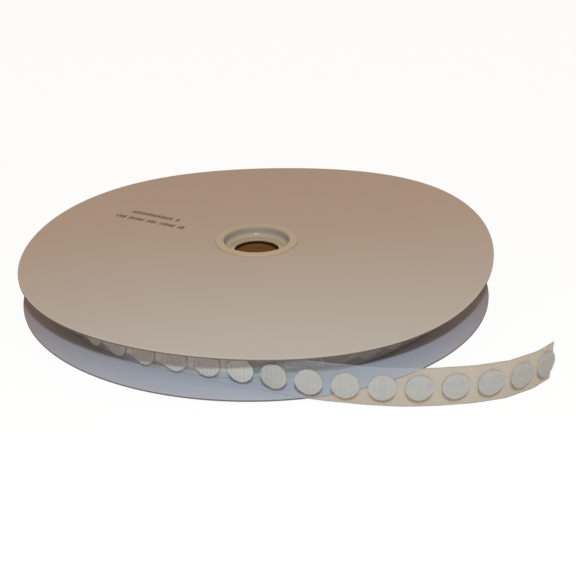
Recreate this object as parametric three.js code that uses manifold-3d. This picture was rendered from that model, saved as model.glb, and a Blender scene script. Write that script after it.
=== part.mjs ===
// Reel of peel-off hook dots: two board flanges on plastic bushes, a paper core and a wound strip.
// Millimetres, +Z up, the reel lies flat with its axis upright and the strip's free end at the front.
import * as THREE from 'three';
import { mergeVertices } from 'three/addons/utils/BufferGeometryUtils.js';
import Module from 'manifold-3d';

// Flanges
const flangeRadius = 165;
const flangeThickness = 1.0;
const flangeSegments = 72;
const flangeRingShares = [0, 0.08, 0.28, 0.46, 0.64, 0.82, 1];
const flangePlay = 1.5;

// How far each flange's rim leaves the flat seat at its hub
const topRimDrop = 0.8;
const topRimTilt = 4.3;
const topRimTiltAngle = 34;
const topRimSaddle = 2.4;
const topRimSaddleAngle = 33;
const topRimRipple = 2.6;
const topRimRippleAngle = 17;
const bottomRimDrop = 0.5;
const bottomRimRipple = 0.4;
const bottomRimRippleAngle = 16;
const rimCurve = 2;

// Core tube, 2 inches inside
const coreInnerRadius = 25.4;
const coreWall = 4.6;
const coreLength = 29.3;
const coreSegments = 48;

// Plastic bushes, each a push fit in the core, with the board held between its lip and the core's end
const cupFit = 0.4;
const lipWidth = 4.25;
const lipThickness = 0.9;
const lipEdgeRound = 0.5;
const mouthRound = 1.4;
const cupWall = 2.1;
const cupDepth = 7;
const ledgeThickness = 1.2;
const ledgeFillet = 2;
const spindleRadius = 15.875;
const cupChamfer = 0.6;
const boardHolePlay = 1.8;
const roundSteps = 4;
const bushSegments = 48;

// Strip: a release liner that carries hook dots
const clearance = 0.3;
const stripLift = 0.2;
const stripWidth = 23.2;
const linerThickness = 0.3;
const linerSkin = 0.12;
const adhesiveThickness = 0.05;
const dotRadius = 7.94;
const dotThickness = 1.7;
const dotPitch = 20.8;
const flatLength = 16.8;
const lapPitch = 2.6;
const takeOffRadius = 142.6;
const takeOffAngle = -110.4;
const packHoleSegments = 24;
const lapDotSegments = 12;
const tailDotSegments = 24;

// The free end of the strip: how far the liner bends at each gap between dots, in degrees
const tailBends = [0, -1, -3, 8, 7, 5, 5, 4, 8, 15, 13];
const tailDots = tailBends.length;
const middleFirstIndex = 6;
const endFirstIndex = 10;
const lastFlatShare = 0.8;

// Past the flange's rim the free end sinks towards the table, by distance from where it leaves the roll
const tailSag = 1.4;
const sagStart = 88;
const sagEnd = 146;

const degree = Math.PI / 180;
const coreOuterRadius = coreInnerRadius + coreWall;
const cupRadius = coreInnerRadius - cupFit;
const lipRadius = cupRadius + lipWidth;
const flangeHoleRadius = cupRadius + boardHolePlay;
const seatTop = lipThickness + flangeThickness;
const coreTop = seatTop + coreLength;
const reelTop = coreTop + flangeThickness + lipThickness;
const stripBottom = seatTop + stripLift;
const stripMiddle = stripBottom + stripWidth / 2;
const lapStep = dotPitch / (takeOffRadius - lapPitch / 2) / degree;
const lapDots = Math.floor(360 / lapStep);

const materials = {
  board: new THREE.MeshStandardMaterial({ color: 0xb5a294, roughness: 0.85 }),
  innerBoard: new THREE.MeshStandardMaterial({ color: 0x9ba0a8, roughness: 0.85 }),
  plastic: new THREE.MeshStandardMaterial({ color: 0xd8cdb4, roughness: 0.35 }),
  kraft: new THREE.MeshStandardMaterial({ color: 0x8a6a46, roughness: 0.9 }),
  liner: new THREE.MeshStandardMaterial({ color: 0xc9bba6, roughness: 0.4 }),
  dots: new THREE.MeshStandardMaterial({ color: 0xdad9d4, roughness: 0.9 }),
};

const wasm = await Module();
wasm.setup();

const model = new THREE.Group();
model.name = 'hook_dot_roll';

function addPart(name, geometry, material) {
  const mesh = new THREE.Mesh(geometry, material);
  mesh.name = name;
  model.add(mesh);
}

function toSolid(geometry) {
  const bare = new THREE.BufferGeometry();
  bare.setAttribute('position', geometry.getAttribute('position'));
  bare.setIndex(geometry.getIndex());
  const merged = mergeVertices(bare);
  const vertProperties = merged.getAttribute('position').array;
  const triVerts = Uint32Array.from(merged.getIndex().array);
  return new wasm.Manifold(new wasm.Mesh({ numProp: 3, vertProperties, triVerts }));
}

function fromSolid(solid) {
  const { vertProperties, triVerts } = solid.getMesh();
  const geometry = new THREE.BufferGeometry();
  geometry.setAttribute('position', new THREE.BufferAttribute(vertProperties, 3));
  geometry.setIndex(new THREE.BufferAttribute(triVerts, 1));
  geometry.computeVertexNormals();
  return geometry;
}

// Turns a closed section of radii and heights round the upright axis.
function turned(section, segments) {
  const points = section.map(([radius, height]) => new THREE.Vector2(radius, height));
  points.push(points[0].clone());
  return new THREE.LatheGeometry(points, segments).rotateX(Math.PI / 2);
}

// Corner points of a quarter round between two angles, about a centre.
function roundCorner(radius, height, size, fromAngle, toAngle) {
  const corner = [];
  for (let step = 0; step <= roundSteps; step += 1) {
    const angle = THREE.MathUtils.lerp(fromAngle, toAngle, step / roundSteps) * degree;
    corner.push([radius + size * Math.cos(angle), height + size * Math.sin(angle)]);
  }
  return corner;
}

function cosine(angle, waves, peakAngle) {
  return Math.cos(waves * (angle - peakAngle * degree));
}

function topRimLift(angle) {
  const tilt = topRimTilt * cosine(angle, 1, topRimTiltAngle);
  const saddle = topRimSaddle * cosine(angle, 2, topRimSaddleAngle);
  const ripple = topRimRipple * cosine(angle, 3, topRimRippleAngle);
  return tilt + saddle + ripple - topRimDrop;
}

function bottomRimLift(angle) {
  return bottomRimRipple * cosine(angle, 3, bottomRimRippleAngle) - bottomRimDrop;
}

// A board disc, flat on its seat round the hub and bent out of flat towards its rim.
function flange(underside, rimLift, shift) {
  const radii = flangeRingShares.map((share) => THREE.MathUtils.lerp(flangeHoleRadius, flangeRadius, share));
  const lower = radii.map((radius) => [radius, underside]);
  const upper = radii.map((radius) => [radius, underside + flangeThickness]).reverse();
  const disc = turned([...lower, ...upper], flangeSegments);
  const position = disc.attributes.position;
  const seatRadius = radii[1];
  for (let index = 0; index < position.count; index += 1) {
    const x = position.getX(index);
    const y = position.getY(index);
    const share = Math.max(0, (Math.hypot(x, y) - seatRadius) / (flangeRadius - seatRadius));
    const lift = rimLift(Math.atan2(y, x)) * share ** rimCurve;
    position.setXYZ(index, x, y + shift, position.getZ(index) + lift);
  }
  return disc;
}

// A flanged cup: the lip lies on the board, the cup reaches into the core and ends in a holed ledge.
function bush() {
  const innerRadius = cupRadius - cupWall;
  const ledgeTop = lipThickness - cupDepth;
  const ledgeBottom = ledgeTop - ledgeThickness;
  const section = [
    [spindleRadius, ledgeTop],
    ...roundCorner(innerRadius - ledgeFillet, ledgeTop + ledgeFillet, ledgeFillet, -90, 0),
    ...roundCorner(innerRadius + mouthRound, lipThickness - mouthRound, mouthRound, 180, 90),
    ...roundCorner(lipRadius - lipEdgeRound, lipThickness - lipEdgeRound, lipEdgeRound, 90, 0),
    [lipRadius, 0],
    [cupRadius, 0],
    [cupRadius, ledgeBottom + cupChamfer],
    [cupRadius - cupChamfer, ledgeBottom],
    [spindleRadius, ledgeBottom],
  ];
  return turned(section.reverse(), bushSegments);
}

function coreTube() {
  const section = [
    [coreInnerRadius, seatTop],
    [coreOuterRadius, seatTop],
    [coreOuterRadius, coreTop],
    [coreInnerRadius, coreTop],
  ];
  return turned(section, coreSegments);
}

function direction(angle) {
  return new THREE.Vector2(Math.cos(angle * degree), Math.sin(angle * degree));
}

// The strip is a row of flats, one to a dot. A heading is the way that a flat runs, towards the free end,
// and its outward side is to the right of that. Flat 0 is where the strip leaves the roll.
function stripFlats() {
  const flats = new Map();
  for (let index = 1 - lapDots; index <= 0; index += 1) {
    const angle = takeOffAngle + index * lapStep;
    const radius = takeOffRadius + index * lapStep * lapPitch / 360;
    flats.set(index, { centre: direction(angle).multiplyScalar(radius), heading: angle + 90 });
  }
  tailBends.forEach((bend, gap) => {
    const last = flats.get(gap);
    const heading = last.heading + bend;
    const centre = last.centre.clone();
    centre.addScaledVector(direction(last.heading), dotPitch / 2);
    centre.addScaledVector(direction(heading), dotPitch / 2);
    flats.set(gap + 1, { centre, heading });
  });
  return flats;
}

const flats = stripFlats();

function outward(flat) {
  return direction(flat.heading - 90);
}

// Points along the outer face of a run of flats. Between dots the liner bends in two easy steps.
// The last flat may be cut short ahead of its middle.
function faceLine(first, last, lastShare = 1) {
  const line = [];
  for (let index = first; index <= last; index += 1) {
    const flat = flats.get(index);
    const ahead = index === last ? flatLength / 2 * lastShare : flatLength / 2;
    line.push(flat.centre.clone().addScaledVector(direction(flat.heading), -flatLength / 2));
    line.push(flat.centre.clone().addScaledVector(direction(flat.heading), ahead));
  }
  return line;
}

// The point halfway between two neighbouring flats, moved along the strip by half the gap left at a fold.
function foldPoint(gap, side) {
  const before = flats.get(gap);
  const after = flats.get(gap + 1);
  const from = before.centre.clone().addScaledVector(direction(before.heading), flatLength / 2);
  const to = after.centre.clone().addScaledVector(direction(after.heading), -flatLength / 2);
  const along = to.clone().sub(from).normalize();
  return from.add(to).multiplyScalar(0.5).addScaledVector(along, side * clearance / 2);
}

// Moves a line of points sideways, to the left of its run, keeping each bend's mitre.
function offsetLine(line, distance) {
  return line.map((point, index) => {
    const before = point.clone().sub(line[Math.max(index - 1, 0)]);
    const after = line[Math.min(index + 1, line.length - 1)].clone().sub(point);
    const first = (before.length() ? before : after).clone().normalize();
    const second = (after.length() ? after : before).clone().normalize();
    const mitre = first.clone().add(second).normalize();
    const left = new THREE.Vector2(-mitre.y, mitre.x);
    return point.clone().addScaledVector(left, distance / mitre.dot(second));
  });
}

// A round hole gets two segments for each curve segment.
function extruded(outline, holeRadius = 0) {
  const shape = new THREE.Shape(outline);
  if (holeRadius) {
    shape.holes.push(new THREE.Path().absarc(0, 0, holeRadius, 0, 2 * Math.PI, true));
  }
  const settings = { depth: stripWidth, bevelEnabled: false, curveSegments: packHoleSegments / 2 };
  return new THREE.ExtrudeGeometry(shape, settings).translate(0, 0, stripBottom);
}

// A band between two depths under the strip's outer face.
function band(line, outerDepth, innerDepth) {
  return extruded([...offsetLine(line, outerDepth), ...offsetLine(line, innerDepth).reverse()]);
}

// A hook dot. Its back lies at the given depth under the strip's outer face, or above it for its adhesive.
function dot(index, segments, depth = -adhesiveThickness) {
  const flat = flats.get(index);
  const length = dotThickness + depth;
  const middle = flat.centre.clone().addScaledVector(outward(flat), dotThickness - length / 2);
  const disc = new THREE.CylinderGeometry(dotRadius, dotRadius, length, segments);
  disc.rotateZ((flat.heading + 180) * degree);
  return disc.translate(middle.x, middle.y, stripMiddle);
}

function sagAt(x, y) {
  const distance = flats.get(0).centre.distanceTo(new THREE.Vector2(x, y));
  return tailSag * THREE.MathUtils.smoothstep(distance, sagStart, sagEnd);
}

// A length of the free end's liner, each point lowered by its own sag.
function tailLiner(line) {
  const geometry = band(line, 0, linerThickness);
  const position = geometry.getAttribute('position');
  for (let index = 0; index < position.count; index += 1) {
    const sag = sagAt(position.getX(index), position.getY(index));
    position.setZ(index, position.getZ(index) - sag);
  }
  return geometry;
}

function tailDot(index) {
  const { centre } = flats.get(index);
  return dot(index, tailDotSegments).translate(0, 0, -sagAt(centre.x, centre.y));
}

const lapLine = [...faceLine(1 - lapDots, 0), foldPoint(0, -1)];

// The layers under the outer one, as one block with the spiral's single step.
function woundPack() {
  const inset = linerThickness + clearance;
  const stepStart = lapLine[0].clone();
  const underTakeOff = flats.get(0).centre.clone();
  underTakeOff.addScaledVector(direction(flats.get(0).heading), flatLength / 2 + dotPitch / 2);
  underTakeOff.multiplyScalar((takeOffRadius - lapPitch) / underTakeOff.length());
  const outline = offsetLine([...lapLine, underTakeOff], inset);
  const step = stepStart.angle() - outline.at(-1).angle();
  const landing = outline.at(-1).clone().rotateAround(new THREE.Vector2(), step / 2);
  landing.setLength(outline[0].length());
  return extruded([...outline, landing], coreOuterRadius + clearance);
}

// The wound dots of the outer lap, held together by the liner's outer skin.
function lapDotBand() {
  let solid = toSolid(band(lapLine, 0, linerSkin));
  for (let index = 1 - lapDots; index <= 0; index += 1) {
    solid = solid.add(toSolid(dot(index, lapDotSegments, linerSkin)));
  }
  return fromSolid(solid);
}

addPart('bottom_flange', flange(lipThickness, bottomRimLift, flangePlay), materials.innerBoard);
addPart('bottom_bush', bush().rotateX(Math.PI).translate(0, 0, lipThickness), materials.plastic);
addPart('core_tube', coreTube(), materials.kraft);
addPart('top_flange', flange(coreTop, topRimLift, -flangePlay), materials.board);
addPart('top_bush', bush().translate(0, 0, reelTop - lipThickness), materials.plastic);
addPart('wound_pack', woundPack(), materials.dots);
addPart('outer_lap', band(lapLine, linerSkin + adhesiveThickness, linerThickness), materials.liner);
addPart('lap_dots', lapDotBand(), materials.dots);

const firstFold = 0;
const middleFold = middleFirstIndex - 1;
const endFold = endFirstIndex - 1;
const nearLine = [foldPoint(firstFold, 1), ...faceLine(1, middleFold), foldPoint(middleFold, -1)];
const midLine = [foldPoint(middleFold, 1), ...faceLine(middleFirstIndex, endFold), foldPoint(endFold, -1)];
const endLine = [foldPoint(endFold, 1), ...faceLine(endFirstIndex, tailDots, lastFlatShare)];
addPart('tail_near', tailLiner(nearLine), materials.liner);
addPart('tail_middle', tailLiner(midLine), materials.liner);
addPart('tail_end', tailLiner(endLine), materials.liner);
for (let index = 1; index <= tailDots; index += 1) {
  addPart(`tail_dot_${String(index).padStart(2, '0')}`, tailDot(index), materials.dots);
}

// The least gap between the free end and the half of the lap that starts under it, dots included.
function leastGap() {
  const half = lapLine.slice(0, lapLine.length / 2);
  const under = half.map((point) => point.clone().setLength(point.length() + dotThickness));
  const over = offsetLine(nearLine, linerThickness);
  let least = Infinity;
  for (const lower of under) {
    for (let index = 1; index < over.length; index += 1) {
      const start = new THREE.Vector3(over[index - 1].x, over[index - 1].y, 0);
      const end = new THREE.Vector3(over[index].x, over[index].y, 0);
      const point = new THREE.Vector3(lower.x, lower.y, 0);
      const nearest = new THREE.Line3(start, end).closestPointToPoint(point, true, new THREE.Vector3());
      least = Math.min(least, nearest.distanceTo(point));
    }
  }
  return least;
}
console.log(`least gap of the strip to itself: ${leastGap().toFixed(2)} mm`);

// The origin is under the middle of the whole part, on the surface that it lies on.
const bounds = new THREE.Box3().setFromObject(model);
const middle = bounds.getCenter(new THREE.Vector3());
for (const mesh of model.children) {
  mesh.geometry.translate(-middle.x, -middle.y, -bounds.min.z);
}
console.log(`reel axis at ${(-middle.x).toFixed(3)}, ${(-middle.y).toFixed(3)} mm from the origin`);

export default model;
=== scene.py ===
import random
from math import atan2, cos, pi, radians, sin

import bmesh
import bpy
from bpy.props import FloatProperty, FloatVectorProperty, IntProperty, PointerProperty
from bpy.types import Operator, Panel, PropertyGroup
from mathutils import Color, Euler, Matrix, Vector


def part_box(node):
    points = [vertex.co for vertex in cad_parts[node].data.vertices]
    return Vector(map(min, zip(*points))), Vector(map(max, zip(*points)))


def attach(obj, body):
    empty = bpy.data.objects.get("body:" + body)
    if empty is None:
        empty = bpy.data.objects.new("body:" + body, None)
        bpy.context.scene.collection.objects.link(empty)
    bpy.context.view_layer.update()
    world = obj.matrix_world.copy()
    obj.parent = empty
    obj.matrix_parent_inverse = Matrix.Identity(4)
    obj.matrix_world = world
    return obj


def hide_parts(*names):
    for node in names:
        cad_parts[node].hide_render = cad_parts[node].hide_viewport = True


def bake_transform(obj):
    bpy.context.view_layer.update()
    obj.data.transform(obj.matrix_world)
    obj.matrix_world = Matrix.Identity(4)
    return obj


bl_info = {
    "name": "Hook Dot Roll",
    "version": (1, 0, 0),
    "blender": (4, 5, 0),
    "location": "View3D > Sidebar > Dot Roll",
    "description": "Builds a board reel of peel-off hook dots on its packed frame",
    "category": "Add Mesh",
}

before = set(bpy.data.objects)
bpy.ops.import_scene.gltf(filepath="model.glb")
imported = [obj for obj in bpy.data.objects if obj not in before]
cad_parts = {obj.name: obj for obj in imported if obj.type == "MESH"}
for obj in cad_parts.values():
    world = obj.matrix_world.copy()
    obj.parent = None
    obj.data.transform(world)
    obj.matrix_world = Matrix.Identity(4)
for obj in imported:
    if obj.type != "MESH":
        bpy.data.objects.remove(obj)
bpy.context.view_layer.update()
CORE_LOW, CORE_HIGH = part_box("core_tube")
LAP_LOW, LAP_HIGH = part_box("outer_lap")
LAP_MIDDLE = (LAP_LOW.z + LAP_HIGH.z) / 2
REEL_AXIS = ((CORE_LOW + CORE_HIGH) / 2).to_2d()

# Dots on the outer lap and on the free end
LAP_DOTS = 42
FREE_DOTS = 11

# Last free dot that takes the lap dots' lighter finish, painted light, and the first dots past two of the
# hinges
NEAR_ROLL = 2
MIDDLE_FIRST = 6
END_FIRST = 10

# Where the free end starts to sink and has sunk, straight from its take-off
SAG_START = 0.088
SAG_END = 0.146

# Where the painted view of the lit table behind the clear liner starts and is whole along its lower edge,
# how far its edge leans for each unit of height, and how fast that lean falls off
TABLE_VIEW_START = 0.0798
TABLE_VIEW_END = 0.0822
TABLE_VIEW_SLANT = 3.435
TABLE_VIEW_CURVE = 32.0

# How far below its dot the painted shadow lies on the liner's painted table view
SHADE_DROP = 0.0035

# How far the liner bends at each gap of the free end, in degrees
FREE_BENDS = (0, -1, -3, 8, 7, 5, 5, 4, 8, 15, 13)

# Each board's rim: how far it hangs down, and its waves as height, waves round the rim and angle of
# the first crest
TOP_RIM = (0.0008, ((0.0043, 1, 34), (0.0024, 2, 33), (0.0026, 3, 17)))
BOTTOM_RIM = (0.0005, ((0.0004, 3, 16),))

# Where each row of ink marks starts and ends, from the reel's axis, and the gaps that are drawn from
INK_ROWS = (((-0.0944, 0.0650), (-0.0560, 0.0415)), ((-0.1058, 0.0585), (-0.0552, 0.0285)))
INK_GAPS = (0.0007, 0.0007, 0.0010, 0.0034)

# The camera: distance from the foot of the reel's axis, angle above the table, turns of its aim up,
# left and round, and focal length as a share of the picture's width
CAMERA_DISTANCE = 0.691989
CAMERA_ELEVATION = 0.439722
CAMERA_TURNS = (-0.007892, -0.031886, -0.021345)
CAMERA_FOCUS = 953.355 / 576

# Steps round the boards, and round the bushes and the core
BOARD_SEGMENTS = 288
HUB_SEGMENTS = 144

WHITE = (1, 1, 1, 1)


def tone(red, green, blue):
    """A colour picked on a screen, 0 to 255, as the linear colour that a socket takes."""
    return tuple(Color((red / 255, green / 255, blue / 255)).from_srgb_to_scene_linear())


def amount(label, text, size, **kind):
    return FloatProperty(name=label, description=text, default=size, **kind)


def length(label, text, size):
    return amount(label, text, size, unit="LENGTH", precision=5)


def fraction(label, text, size):
    return amount(label, text, size, subtype="FACTOR", min=0, max=1)


def colour(label, text, red, green, blue):
    return FloatVectorProperty(
        name=label, description=text, default=tone(red, green, blue), subtype="COLOR", min=0, max=1
    )


class DotRollReel(PropertyGroup):
    """Sizes of the boards, bushes and core."""

    board_radius: length("Board radius", "Outer radius of each board flange", 0.165)
    board_thickness: length("Board thickness", "Thickness of each board flange", 0.001)
    board_hole_radius: length("Board hole radius", "Radius of the hole round the bush", 0.0268)
    seat_radius: length("Seat radius", "Inside this radius a board is flat", 0.03786)
    board_play: length("Board play", "How far each board sits off the reel's axis", 0.0015)
    lip_radius: length("Lip radius", "Outer radius of a bush's lip", 0.02925)
    lip_thickness: length("Lip thickness", "Thickness of a bush's lip", 0.0009)
    lip_round: length("Lip round", "Rounding of the lip's outer edge", 0.0005)
    mouth_round: length("Mouth round", "Rounding where the lip turns into the cup", 0.0014)
    cup_radius: length("Cup radius", "Outer radius of a bush's cup", 0.025)
    cup_wall: length("Cup wall", "Wall of a bush's cup", 0.0021)
    cup_depth: length("Cup depth", "From the lip's face down to the ledge", 0.007)
    ledge_thickness: length("Ledge thickness", "Thickness of the ledge in the cup", 0.0012)
    ledge_round: length("Ledge round", "Rounding where the cup's wall meets the ledge", 0.0034)
    spindle_radius: length("Spindle hole radius", "Radius of the hole in the ledge", 0.015875)
    core_inner_radius: length("Core inner radius", "Inner radius of the core", 0.0254)
    core_outer_radius: length("Core outer radius", "Outer radius of the core", 0.03)


class DotRollStrip(PropertyGroup):
    """Sizes of the liner and its dots. A node group's input takes the size of the same name."""

    film_width: length("Film width", "Width of the release liner", 0.025)
    film_thickness: length("Film thickness", "Thickness of the release liner", 0.00012)
    dot_radius: length("Dot radius", "Radius of a hook dot", 0.00794)
    dot_height: length("Dot height", "From the liner to the tips of the hooks", 0.00168)
    base_thickness: length("Base thickness", "Thickness of a dot's woven base", 0.0011)
    dot_pitch: length("Dot pitch", "Distance from dot to dot along the liner", 0.0208)
    flat_length: length("Flat length", "Length of liner that a dot keeps flat", 0.0168)
    end_length: length("End length", "Liner past the middle of the last dot", 0.00672)
    lap_pitch: length("Lap pitch", "How much each turn adds to the radius", 0.0026)
    take_off_radius: length("Take-off radius", "Radius where the free end leaves the roll", 0.1426)
    take_off_angle: amount(
        "Take-off angle", "Where the free end leaves the roll", radians(-110.4), subtype="ANGLE"
    )
    film_sag: length("Film sag", "How far the free end's liner sinks", 0.002)
    dot_sag: length("Dot sag", "How far the free end's dots sink", 0.001)
    filament: length("Filament", "Thickness of a hook's thread", 0.00022)
    hook_lean: length("Hook lean", "How far a hook's end stands off its root", 0.00062)
    fray: length("Fray", "How far loose threads stand out round a dot", 0.0008)
    hooks_across: IntProperty(name="Hooks across", description="Hooks over a dot's width", default=15)
    rows_across: IntProperty(name="Rows across", description="Rows of hooks over a dot's width", default=13)


class DotRollFinish(PropertyGroup):
    """Colours of the finishes."""

    board_outside: colour("Board outside", "Tan face of the boards, towards the front", 164, 155, 148)
    # The back colour is painted shade: warmer and darker where less lamp light falls
    board_outside_shaded_back: colour("Board outside, back", "The same face, yellower at the back", 164, 145, 131)
    board_inside: colour("Board inside", "Grey-blue face of the boards, towards the front", 172, 171, 180)
    # The back colour is painted shade: darker and browner towards the back
    board_inside_shaded_back: colour("Board inside, back", "The same face towards the back", 136, 110, 107)
    board_edge: colour("Board edge", "Cut edge of the boards", 104, 93, 84)
    bush: colour("Bush", "Moulded plastic of the bushes", 167, 147, 121)
    # The grey is painted shade for the cup's recess
    bush_wall_shade: colour("Bush wall", "The same plastic where nothing pale lies behind it", 141, 131, 119)
    kraft: colour("Core paper", "Brown paper of the core", 134, 84, 41)
    film_near: colour("Liner over the reel", "Clear part of the liner", 176, 178, 182)
    # Painted: the lit table seen through the clear liner past the reel's rim
    film_table_view: colour("Liner's free end", "Hazy part of the liner", 159, 142, 124)
    # Painted shadow of a dot on that table view
    film_shaded: colour("Liner behind a dot", "Hazy part where a dot's shadow lies behind it", 137, 113, 91)
    film_wound: colour("Wound liner", "Liner with more turns behind it, below its dots", 152, 146, 140)
    # Paler for the dots behind it, and partly painted light for the shade between the boards
    film_dotted: colour("Wound liner, dotted", "The same liner at the height of its dots", 236, 230, 222)
    # Partly painted light: paler for the nylon behind, and lighter still to lift the shade between the lap's
    # dots
    film_rolled_lit: colour("Liner on the roll", "The outer lap where dots lie behind it", 220, 214, 206)
    clear_cover: fraction("Clear cover", "How much each face of the clear liner hides", 0.1)
    # How much each face shows of the painted table view
    table_view_cover: fraction("Haze cover", "How much each face of the hazy liner hides", 0.6)
    rolled_lit_cover: fraction("Rolled cover", "How much more each face hides where dots lie behind it", 0.38)
    dots: colour("Dots", "Woven nylon of the dots", 170, 165, 161)
    # Lighter than the free dots: painted light on the roll's dots in the shade under the upper board
    lap_dots: colour("Lap dots", "The same nylon on the roll, with more nylon behind it", 186, 181, 176)
    ink: colour("Ink", "Faded ink marks on the upper board", 112, 86, 70)


class DotRollStudio(PropertyGroup):
    """Lamp and light from all round."""

    key_place: FloatVectorProperty(
        name="Key lamp", description="Place of the lamp above the camera, from the foot of the reel's axis",
        default=(0.009, -0.65, 0.45), subtype="TRANSLATION", unit="LENGTH",
    )
    key_power: amount("Key power", "Power of the lamp above the camera", 4.2, unit="POWER")
    key_size: length("Key size", "Width of the lamp above the camera", 0.03)
    key_tint: colour("Key tint", "Colour of the lamp", 218, 243, 255)
    fill_tint: colour("Fill tint", "Colour of the light from all round", 255, 231, 205)
    fill_strength: amount("Fill", "Strength of the light from all round", 0.75)


# Node trees


class Value:
    """A socket that Python's own signs can reckon with."""

    def __init__(self, tree, socket):
        self.tree = tree
        self.socket = socket

    def __add__(self, other):
        return self.tree.reckon("ADD", self, other)

    def __sub__(self, other):
        return self.tree.reckon("SUBTRACT", self, other)

    def __rsub__(self, other):
        return self.tree.reckon("SUBTRACT", other, self)

    def __mul__(self, other):
        return self.tree.reckon("MULTIPLY", self, other)

    def __truediv__(self, other):
        return self.tree.reckon("DIVIDE", self, other)

    __radd__ = __add__
    __rmul__ = __mul__


class Tree:
    """A node tree. node() makes any node: its type, then its settings, then its sockets."""

    def __init__(self, tree):
        self.tree = tree

    def node(self, kind, settings=None, sockets=None, output=0):
        made = self.tree.nodes.new(kind)
        for name, value in (settings or {}).items():
            setattr(made, name, value)
        for key, value in (sockets or {}).items():
            for one in value if isinstance(value, list) else [value]:
                if isinstance(one, Value):
                    self.tree.links.new(one.socket, made.inputs[key])
                else:
                    made.inputs[key].default_value = one
        return Value(self, made.outputs[output] if made.outputs else None)

    def reckon(self, operation, *values):
        return self.node("ShaderNodeMath", {"operation": operation}, dict(enumerate(values)))

    def vector(self, operation, *values, output=0):
        return self.node("ShaderNodeVectorMath", {"operation": operation}, dict(enumerate(values)), output)

    def join(self, x=0.0, y=0.0, z=0.0):
        return self.node("ShaderNodeCombineXYZ", {}, {0: x, 1: y, 2: z})

    def smooth_step(self, value, low, high):
        """0 below low, 1 above high, and smooth between."""
        settings = {"interpolation_type": "SMOOTHSTEP"}
        return self.node("ShaderNodeMapRange", settings, {0: value, 1: low, 2: high})


class Finish(Tree):
    """A material, and the place on its piece that its patterns follow."""

    def __init__(self, name, attribute=None):
        self.material = bpy.data.materials.new(name)
        self.material.use_nodes = True
        self.material.node_tree.nodes.clear()
        super().__init__(self.material.node_tree)
        if attribute:
            self.place = self.node("ShaderNodeAttribute", {"attribute_name": attribute}, output="Vector")
        else:
            self.place = self.node("ShaderNodeTexCoord", output="Object")

    def parts(self):
        """The x, y and z of the place."""
        split = self.node("ShaderNodeSeparateXYZ", {}, {0: self.place})
        return [Value(self, socket) for socket in split.socket.node.outputs]

    def from_axis(self):
        """Distance from the reel's upright axis."""
        x, y, _ = self.parts()
        return self.vector("LENGTH", self.join(x - REEL_AXIS.x, y - REEL_AXIS.y), output="Value")

    def noise(self, scale, detail=3.0, roughness=0.6):
        """Uneven tone. A scale for each of x, y and z draws it out into layers or fibres."""
        place = self.place
        if isinstance(scale, tuple):
            place = self.vector("MULTIPLY", place, scale)
            scale = 1.0
        sockets = {"Vector": place, "Scale": scale, "Detail": detail, "Roughness": roughness}
        return self.node("ShaderNodeTexNoise", {"noise_dimensions": "3D"}, sockets)

    def blend(self, share, first, second, way="MIX"):
        settings = {"data_type": "RGBA", "blend_type": way}
        sockets = {0: share}
        for key, value in ((6, first), (7, second)):
            sockets[key] = value if isinstance(value, Value) else (*value, 1)
        return self.node("ShaderNodeMix", settings, sockets, output=2)

    def mix(self, share, first, second):
        """A colour part of the way from first to second."""
        return self.blend(share, first, second)

    def shade(self, share, base):
        """Base darkened or lightened: a share of 1 leaves it as it is."""
        return self.blend(1.0, base, self.join(share, share, share), "MULTIPLY")

    def bump(self, height, strength, depth):
        sockets = {"Height": height, "Strength": strength, "Distance": depth}
        return self.node("ShaderNodeBump", {}, sockets)

    def surface(self, base, rough, shine, **more):
        """Ends the tree in a principled shader. An underscore in a name stands for a space."""
        sockets = {"Base Color": base, "Roughness": rough, "Specular IOR Level": shine}
        sockets.update({name.replace("_", " "): value for name, value in more.items()})
        shader = self.node("ShaderNodeBsdfPrincipled", {}, sockets)
        self.node("ShaderNodeOutputMaterial", {}, {"Surface": shader})
        return self.material


def board_face_finish(name, front, back, rim_radius, mottle, rim_lightening):
    """Smooth paper-faced board: faint mottling, short fibres, a lighter ring at the rim, painted shade
    towards the back.
    """
    finish = Finish(name)
    _, y, _ = finish.parts()
    cloudy = finish.noise(scale=28.0, detail=4.0)
    fibres = finish.noise(scale=(260.0, 900.0, 900.0), detail=5.0, roughness=0.7)
    specks = finish.noise(scale=1500.0, detail=2.0)
    fleck = finish.smooth_step(specks, 0.74, 0.8)
    # Painted shade: towards the back the face turns to its darker back colour
    back_shade_from = 0.05
    painted_back_shade = finish.smooth_step(y - REEL_AXIS.y, -rim_radius, back_shade_from)
    # A thin lighter ring at the rim, ragged with the fibres
    ragged = finish.from_axis() + fibres * 0.0006
    rim_ring = finish.smooth_step(ragged, rim_radius - 0.0005, rim_radius - 0.0001)
    tones = 1.0 - mottle / 2 + cloudy * mottle + (fibres - 0.5) * (mottle * 0.6)
    toned = finish.shade(tones - fleck * 0.09 + rim_ring * rim_lightening, finish.mix(painted_back_shade, front, back))
    relief = finish.bump(fibres * 0.7 + specks * 0.3, strength=0.22, depth=0.00012)
    return finish.surface(toned, rough=0.62 + cloudy * 0.16, shine=0.25, Normal=relief)


def board_edge_finish(base):
    """The cut edge: pressed layers of fibre, soft and uneven."""
    finish = Finish("board_cut_edge")
    layers = finish.noise(scale=(60.0, 60.0, 5200.0), detail=4.0)
    fuzz = finish.noise(scale=1400.0)
    toned = finish.shade(0.74 + layers * 0.36 + (fuzz - 0.5) * 0.2, base)
    relief = finish.bump(layers + fuzz, strength=0.5, depth=0.0002)
    return finish.surface(toned, rough=0.92, shine=0.15, Normal=relief)


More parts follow.
